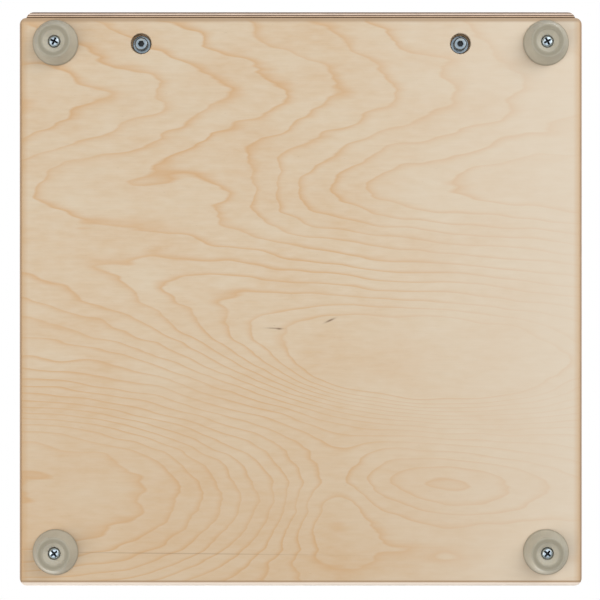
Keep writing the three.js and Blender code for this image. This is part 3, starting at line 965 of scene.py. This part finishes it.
def underside_marks(tree, place, inwards, base):
    """Marks on the bottom face: paler towards the right, partly painted light and partly the veneer's own
    paler wood; painted shade, darker and warmer, towards the rear away from the right side; painted shade
    with sanding over the side roundovers; the panel joints' lines, the rear one partly painted shadow; and
    the flecks.
    """
    axes = put(tree, "SeparateXYZ", {0: place}).outputs
    across = axes[1]
    outer = calc(tree, "LESS_THAN", inwards, FACE_PLY)
    # Paler towards the right: partly painted light of the brighter right side, partly the veneer's own paler
    # wood
    pale_right_light_and_wood = ramp(tree, axes[0], 20, 150, 0.0, 0.68)
    base = tint(tree, calc(tree, "MULTIPLY", pale_right_light_and_wood, outer), base, BIRCH_PALE)
    # Painted shade: darker and warmer towards the rear, away from the right side
    rear_left_shade = calc(tree, "MULTIPLY", ramp(tree, across, 0, 130, 0.0, 0.3), ramp(tree, axes[0], 150, 20))
    base = tint(tree, calc(tree, "MULTIPLY", rear_left_shade, outer), base, colour("c8a070"))
    side = calc(tree, "ABSOLUTE", axes[0])
    # Over the side roundovers: partly sanded veneer, partly painted shade of the roundover
    sanding_and_shade = ramp(tree, side, HALF_WIDTH / MM - 5, HALF_WIDTH / MM - 1.8, 0.0, 0.6)
    base = tint(tree, calc(tree, "MULTIPLY", sanding_and_shade, outer), base, colour("cda473"))
    front = BODY_FRONT / MM
    rear = BODY_REAR / MM
    base = tint(tree, ramp(tree, across, front + 2.6, front + 1.3, 0.0, 0.85), base, colour("b6997a"))
    # The rear joint's line: partly glue, partly painted shadow of the gap
    base = tint(tree, ramp(tree, across, rear - 0.7, rear - 0.2, 0.0, 0.9), base, colour("a98a67"))
    for x, y, half_length, half_width, degrees, strength in FLECKS:
        fleck = mound(tree, place, x, y, half_length, half_width, degrees)
        fleck = calc(tree, "MULTIPLY", calc(tree, "MULTIPLY", fleck, outer), strength)
        base = tint(tree, fleck, base, colour("6b4a30"))
    return base


def pale_lit_lower_edge(tree, place, inwards, base):
    """The back panel's lower edge, painted pale as a painted highlight of the light wrapping round it, with a
    line along the joint that is partly glue and partly painted shadow.
    """
    height = put(tree, "SeparateXYZ", {0: place}).outputs[0]
    # Painted highlight along the lower edge
    lower = ramp(tree, height, BODY_BOTTOM / MM + 2.2, BODY_BOTTOM / MM + 1.2, 0.0, 0.9)
    base = tint(tree, lower, base, colour("fff0e0"))
    # The joint line: partly glue, partly painted shadow
    glue = calc(tree, "MULTIPLY", lower, ramp(tree, inwards, 1.85, 2.05))
    return tint(tree, glue, base, colour("b08f6d"))


# ---- striking plate ----

TAPA_LAYERS = (
    (0.0, colour("7f614b")),
    (0.95, colour("fbe3cf")),
    (1.55, colour("4a2c1b")),
    (2.1, colour("e8c9a9")),
    # The last layer: glue, darkened further with painted shadow of the joint
    (2.6, colour("55391f")),
)


def tapa_finish():
    """A brown face veneer on thin plies, the last of them dark at the joint with glue and painted joint
    shadow, and bare inside.
    """
    finish, tree, shader = new_finish("tapa_veneer_layers")
    place, inwards = sheet_place(tree, "Z", "X", "Y", TAPA_FACE, 1)
    thickness = (BODY_FRONT - TAPA_FACE) / MM
    rings = plain_rings(tree, place, 61)
    ragged = level(tree, place, (70, 1.6, 1e6), 3.0, 3)
    rings = calc(tree, "MULTIPLY_ADD", ragged, 0.4, rings)
    part = calc(tree, "FRACT", rings)
    line = calc(tree, "MULTIPLY", ramp(tree, part, 0.2, 0.9), ramp(tree, part, 1.0, 0.9))
    clouds = ramp(tree, level(tree, place, (90, 14, 1e6), 3.0, 11), 0.3, 0.7)
    ground = tint(tree, clouds, colour("8d6547"), colour("7a553b"))
    figure = tint(tree, line, ground, colour("65442f"))
    fibres = ramp(tree, level(tree, place, (24, 0.5, 1e6), 3.0, 23), 0.25, 0.75, 0.86, 1.1)
    figure = tint(tree, 1.0, figure, fibres, "MULTIPLY")
    stack = put(tree, "ValToRGB", {0: calc(tree, "DIVIDE", inwards, thickness)})
    stack.color_ramp.interpolation = "CONSTANT"
    stops = stack.color_ramp.elements
    stops.remove(stops[1])
    stops[0].color = TAPA_LAYERS[0][1]
    for depth, shade in TAPA_LAYERS[1:]:
        stops.new(depth / thickness).color = shade
    streaks = ramp(tree, level(tree, place, (14, 14, 0.3), 2.0, 51), 0.3, 0.7, 0.85, 1.1)
    edge = tint(tree, 1.0, stack.outputs[0], streaks, "MULTIPLY")
    axes = put(tree, "SeparateXYZ", {0: place}).outputs
    side = calc(tree, "ABSOLUTE", axes[1])
    # Inside the box the innermost ply is bare wood, without the glue and painted joint shadow of its edge
    bare = ramp(tree, side, SIDE_INNER / MM, SIDE_INNER / MM - 1)
    for limit in (
        ramp(tree, axes[0], CAVITY_BOTTOM / MM, CAVITY_BOTTOM / MM + 1),
        ramp(tree, axes[0], CAVITY_TOP / MM, CAVITY_TOP / MM - 1),
        calc(tree, "GREATER_THAN", inwards, TAPA_LAYERS[-1][0]),
    ):
        bare = calc(tree, "MULTIPLY", bare, limit)
    inner_figure = tint(tree, calc(tree, "MULTIPLY", line, 0.5), colour("d0ae8a"), colour("b98f68"))
    inner_figure = tint(tree, 1.0, inner_figure, fibres, "MULTIPLY")
    edge = tint(tree, bare, edge, inner_figure)
    face = calc(tree, "LESS_THAN", inwards, 0.3)
    link(tree, tint(tree, face, edge, figure), shader, "Base Color")
    lacquer(tree, shader, fibres, place)
    return finish


# ---- other finishes ----


def beech(name, grain):
    """Beech with its short dark flecks along the grain."""
    finish, tree, shader = new_finish(name)
    axes = put(tree, "SeparateXYZ", {0: millimetres(tree)}).outputs
    others = [a for a in ("X", "Y", "Z") if a != grain]
    place = put(tree, "CombineXYZ", {0: axes[grain], 1: axes[others[0]], 2: axes[others[1]]}).outputs[0]
    bands = ramp(tree, level(tree, place, (220, 5, 5), 2.0, 1), 0.3, 0.7)
    base = tint(tree, bands, colour("d9b48c"), colour("c99c74"))
    flecks = ramp(tree, level(tree, place, (4.5, 0.5, 0.5), 1.0, 5), 0.62, 0.72, 0.0, 0.55)
    base = tint(tree, flecks, base, colour("9c6d48"))
    fibres = ramp(tree, level(tree, place, (25, 0.6, 0.6), 2.0, 9), 0.3, 0.7, 0.93, 1.04)
    link(tree, tint(tree, 1.0, base, fibres, "MULTIPLY"), shader, "Base Color")
    shader.inputs["Roughness"].default_value = 0.6
    link(tree, bump(tree, fibres, 0.4, 0.0001), shader, "Normal")
    return finish


def silicone_finish():
    """Cloudy silicone, greyer on the ring that stands on the floor, with painted shadow at its rim against
    the wood.
    """
    finish, tree, shader = new_finish("cloudy_silicone")
    place = millimetres(tree)
    axes = put(tree, "SeparateXYZ", {0: place}).outputs
    flat = put(tree, "CombineXYZ", {0: axes[0], 1: axes[1]}).outputs[0]
    radius = put(tree, "VectorMath", {0: flat}, operation="LENGTH").outputs["Value"]
    clouds = ramp(tree, level(tree, place, (6, 6, 6), 3.0, 2), 0.3, 0.7)
    base = tint(tree, clouds, colour("d3ccba"), colour("cac3b0"))
    contact = band(tree, radius, FOOT_RECESS / MM - 0.3, FOOT_CONTACT / MM, 0.8)
    base = tint(tree, contact, base, colour("a8a08c"))
    inside = ramp(tree, radius, FOOT_RECESS / MM, FOOT_RECESS / MM - 0.8)
    base = tint(tree, inside, base, colour("dad2bf"))
    # Painted shadow at the rim where the foot meets the wood, with the wood's brown painted as if seen
    # through
    rim = ramp(tree, radius, FOOT_BASE / MM - 0.7, FOOT_BASE / MM, 0.0, 0.7)
    base = tint(tree, rim, base, colour("96866b"))
    specks = ramp(tree, level(tree, place, (0.7, 0.7, 0.7), 2.0, 8), 0.66, 0.78, 0.0, 0.35)
    base = tint(tree, specks, base, colour("857b69"))
    link(tree, base, shader, "Base Color")
    shader.inputs["Subsurface Weight"].default_value = 0.35
    shader.inputs["Subsurface Radius"].default_value = (0.8, 0.75, 0.65)
    shader.inputs["Subsurface Scale"].default_value = 0.003
    shader.inputs["Transmission Weight"].default_value = 0.12
    shader.inputs["Roughness"].default_value = 0.5
    shader.inputs["IOR"].default_value = 1.41
    rough_skin = level(tree, place, (0.9, 0.9, 0.9), 2.0, 4)
    link(tree, bump(tree, rough_skin, 0.25, 0.0001), shader, "Normal")
    return finish


def zinc_finish(
    name, recess_radius=0, recess_face=0, shade_reach=1.2 * MM, dark=0.94, light="cfdbe4", cloudy="b2c2ce",
):
    """Bluish zinc plating, cloudy in places. Painted shade darkens it where something stands closer than a
    given reach. Within recess_radius of the Z axis painted shade darkens it above recess_face, as inside a
    driving recess."""
    finish, tree, shader = new_finish(name)
    place = millimetres(tree)
    clouds = ramp(tree, level(tree, place, (2.5, 2.5, 2.5), 3.0, 2), 0.3, 0.7)
    base = tint(tree, clouds, colour(light), colour(cloudy))
    warm = ramp(tree, level(tree, place, (4, 4, 4), 2.0, 9), 0.58, 0.75, 0.0, 0.4)
    base = tint(tree, warm, base, colour("b9b39d"))
    # Painted shade: darker where other surfaces stand close, from ambient occlusion
    crevice = put(tree, "AmbientOcclusion", {"Distance": shade_reach}, samples=8).outputs["AO"]
    painted_shade = ramp(tree, crevice, 0.05, 0.6, 0.85, 0.0)
    if recess_radius:
        axes = put(tree, "SeparateXYZ", {0: place}).outputs
        flat = put(tree, "CombineXYZ", {0: axes[0], 1: axes[1]}).outputs[0]
        radius = put(tree, "VectorMath", {0: flat}, operation="LENGTH").outputs["Value"]
        inside = calc(tree, "LESS_THAN", radius, recess_radius / MM)
        face = recess_face / MM
        # Painted shade inside the driving recess
        depth = ramp(tree, axes[2], face + 0.15, face + 0.8, 0.0, dark)
        painted_shade = calc(tree, "MAXIMUM", painted_shade, calc(tree, "MULTIPLY", inside, depth))
    link(tree, tint(tree, painted_shade, base, colour("1f1c1a")), shader, "Base Color")
    shader.inputs["Metallic"].default_value = 1.0
    link(tree, ramp(tree, clouds, 0, 1, 0.2, 0.3), shader, "Roughness")
    grain = level(tree, place, (0.8, 0.8, 0.8), 1.0, 5)
    link(tree, bump(tree, grain, 0.1, 0.00003), shader, "Normal")
    return finish


def string_finish():
    """Steel strings with a fine winding round them, its grooves darkened with painted shade."""
    finish, tree, shader = new_finish("wound_steel")
    place = millimetres(tree)
    axes = put(tree, "SeparateXYZ", {0: place}).outputs
    turns = calc(tree, "SINE", calc(tree, "MULTIPLY", axes[2], 2 * math.pi / 0.3))
    # Painted shade in the winding's grooves
    groove_shade = ramp(tree, turns, -1, -0.2, 0.55, 1.0)
    tone = ramp(tree, level(tree, place, (3, 3, 14), 2.0, 3), 0.3, 0.7)
    base = tint(tree, tone, colour("c9cbcc"), colour("aeb0b1"))
    link(tree, tint(tree, 1.0, base, groove_shade, "MULTIPLY"), shader, "Base Color")
    shader.inputs["Metallic"].default_value = 1.0
    shader.inputs["Roughness"].default_value = 0.34
    link(tree, bump(tree, turns, 0.5, 0.00005), shader, "Normal")
    return finish


def paint_panels(panels):
    bottom, top, left, right, back, tapa = panels

    def another(shift):
        return lambda tree, place: plain_rings(tree, place, shift)

    finishes = (
        (bottom, plywood(
            "bottom_birch", ("X", "Y", "Z", BODY_BOTTOM, 1), *END_SHEET, hill_rings, underside_marks,
        )),
        (top, plywood("top_birch", ("X", "Y", "Z", BODY_TOP, -1), *END_SHEET, another(13))),
        (left, plywood("left_birch", ("Z", "Y", "X", -HALF_WIDTH, 1), *SIDE_SHEET, another(29))),
        (right, plywood("right_birch", ("Z", "Y", "X", HALF_WIDTH, -1), *SIDE_SHEET, another(47))),
        (back, plywood(
            "back_birch", ("Z", "X", "Y", BACK_FACE, -1), *BACK_SHEET, another(71), pale_lit_lower_edge,
        )),
        (tapa, tapa_finish()),
    )
    for piece, finish in finishes:
        piece.data.materials.clear()
        piece.data.materials.append(finish)


# ---- stage ----

FLOOR_HALF = 12.0
FLOOR_FADE = (700, 1900)  # millimetres from the middle
CAMERA_DISTANCE = 1.0
VIEW_WIDTH = 0.31945  # what the picture spans at the bottom panel's face
VIEW_CENTRE = (-0.4 * MM, 0.55 * MM)
SENSOR = 36.0


def make_floor():
    """A pale floor that the camera under it sees through, and that fades into the backdrop."""
    half = FLOOR_HALF
    corners = [(-half, -half, 0), (half, -half, 0), (half, half, 0), (-half, half, 0)]
    floor = from_faces("studio_floor", corners, [(0, 1, 2, 3)])
    floor.location.z = -0.2 * MM
    finish = bpy.data.materials.new("pale_floor")
    finish.use_nodes = True
    tree = finish.node_tree
    tree.nodes.clear()
    back = put(tree, "NewGeometry").outputs["Backfacing"]
    camera_ray = put(tree, "LightPath").outputs["Is Camera Ray"]
    distance = put(tree, "VectorMath", {0: millimetres(tree)}, operation="LENGTH").outputs["Value"]
    nearby = ramp(tree, distance, *FLOOR_FADE, 1.0, 0.0)
    seen = calc(tree, "MULTIPLY", camera_ray, calc(tree, "SUBTRACT", 1.0, back))
    seen = calc(tree, "MULTIPLY", seen, nearby)
    clear = put(tree, "BsdfTransparent").outputs[0]
    pale = put(tree, "BsdfDiffuse", {"Color": (0.86, 0.86, 0.85, 1)}).outputs[0]
    mixed = put(tree, "MixShader", {0: seen, 1: clear, 2: pale}).outputs[0]
    output = put(tree, "OutputMaterial")
    tree.links.new(mixed, output.inputs["Surface"])
    floor.data.materials.append(finish)


def make_world():
    """A white backdrop, with a softer light all round that is brightest straight below."""
    world = bpy.data.worlds.new("studio")
    bpy.context.scene.world = world
    world.use_nodes = True
    tree = world.node_tree
    tree.nodes.clear()
    camera_ray = put(tree, "LightPath").outputs["Is Camera Ray"]
    backdrop = put(tree, "Background", {"Color": (1, 1, 1, 1), "Strength": 1.0}).outputs[0]
    way = put(tree, "SeparateXYZ", {0: put(tree, "TexCoord").outputs["Generated"]}).outputs[2]
    below = ramp(tree, way, -0.97, -0.9, 1.3, 0.36)
    room = calc(tree, "ADD", below, ramp(tree, way, -0.3, 0.3, 0.0, 0.2))
    fill = put(tree, "Background", {"Color": (0.96, 0.98, 1.0, 1), "Strength": room}).outputs[0]
    mixed = put(tree, "MixShader", {0: camera_ray, 1: fill, 2: backdrop}).outputs[0]
    output = put(tree, "OutputWorld")
    tree.links.new(mixed, output.inputs["Surface"])


def soft_light(name, place, target, size, power, tone=(1, 1, 1)):
    lamp = bpy.data.lights.new(name, "AREA")
    lamp.shape = "SQUARE"
    lamp.size = size
    lamp.energy = power
    lamp.color = tone
    holder = bpy.data.objects.new(name, lamp)
    bpy.context.scene.collection.objects.link(holder)
    holder.location = place
    aim = Vector(target) - Vector(place)
    holder.rotation_euler = aim.to_track_quat("-Z", "Y").to_euler()


def make_lights():
    """Two lights under the box, brighter from the right as in the photo, and three above it."""
    under = (0, 0, 0)
    soft_light("under_key", (1.0, -0.75, -1.15), under, 1.3, 14.0, (0.98, 0.99, 1.0))
    soft_light("under_fill", (-1.1, 0.4, -1.2), under, 1.3, 10.2, (1.0, 0.98, 0.95))
    soft_light("upper_key", (1.3, -1.6, 1.9), (0, 0, 0.25), 1.2, 26)
    soft_light("upper_rear", (-0.9, 2.3, 1.15), (0, 0, 0.25), 1.3, 30)
    soft_light("overhead", (0, 0, 2.6), (0, 0, 0.4), 1.6, 9)


def make_camera():
    """Straight below the middle of the bottom panel, with the striking plate at the top of the picture."""
    camera = bpy.data.cameras.new("camera")
    camera.sensor_width = SENSOR
    camera.lens = SENSOR * CAMERA_DISTANCE / VIEW_WIDTH
    camera.clip_start = 0.01
    holder = bpy.data.objects.new("camera", camera)
    bpy.context.scene.collection.objects.link(holder)
    holder.location = (*VIEW_CENTRE, BODY_BOTTOM - CAMERA_DISTANCE)
    holder.rotation_euler = (math.pi, 0, 0)
    bpy.context.scene.camera = holder


def main():
    make_camera()
    make_floor()
    make_world()
    make_lights()
    paint_panels(make_panels())
    zinc = zinc_finish("bright_zinc")
    pan_face = SCREW_SEAT - PAN_HEIGHT
    # Painted shade inside the pan heads' cross recesses
    pan_zinc = zinc_finish("pan_head_zinc", RECESS_ARM + 0.1 * MM, pan_face, dark=0.8)
    socket = 0.6 * SOCKET_FLATS
    cap_face = CAP_TOP - CAP_HEIGHT
    # Darker zinc colours and a wider reach of painted shade for the cap heads and washers: painted shade of
    # their counterbores and painted dark reflection
    cap_zinc = zinc_finish("cap_head_zinc", socket, cap_face, 3 * MM, light="a5b1b8", cloudy="84919a")
    make_feet_and_screws(silicone_finish(), pan_zinc, zinc)
    make_snares(cap_zinc, string_finish())
    beeches = {axis: beech("beech_along_" + axis.lower(), axis) for axis in ("X", "Y", "Z")}
    for node, (slot, body, reach) in EASED.items():
        low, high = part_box(node)
        spans = high - low
        grain = "XYZ"[max(range(3), key=lambda i: spans[i])]
        eased(node, body, reach, zinc if slot == "zinc_plated_steel" else beeches[grain])
    bpy.context.scene.view_settings.view_transform = "Standard"


main()
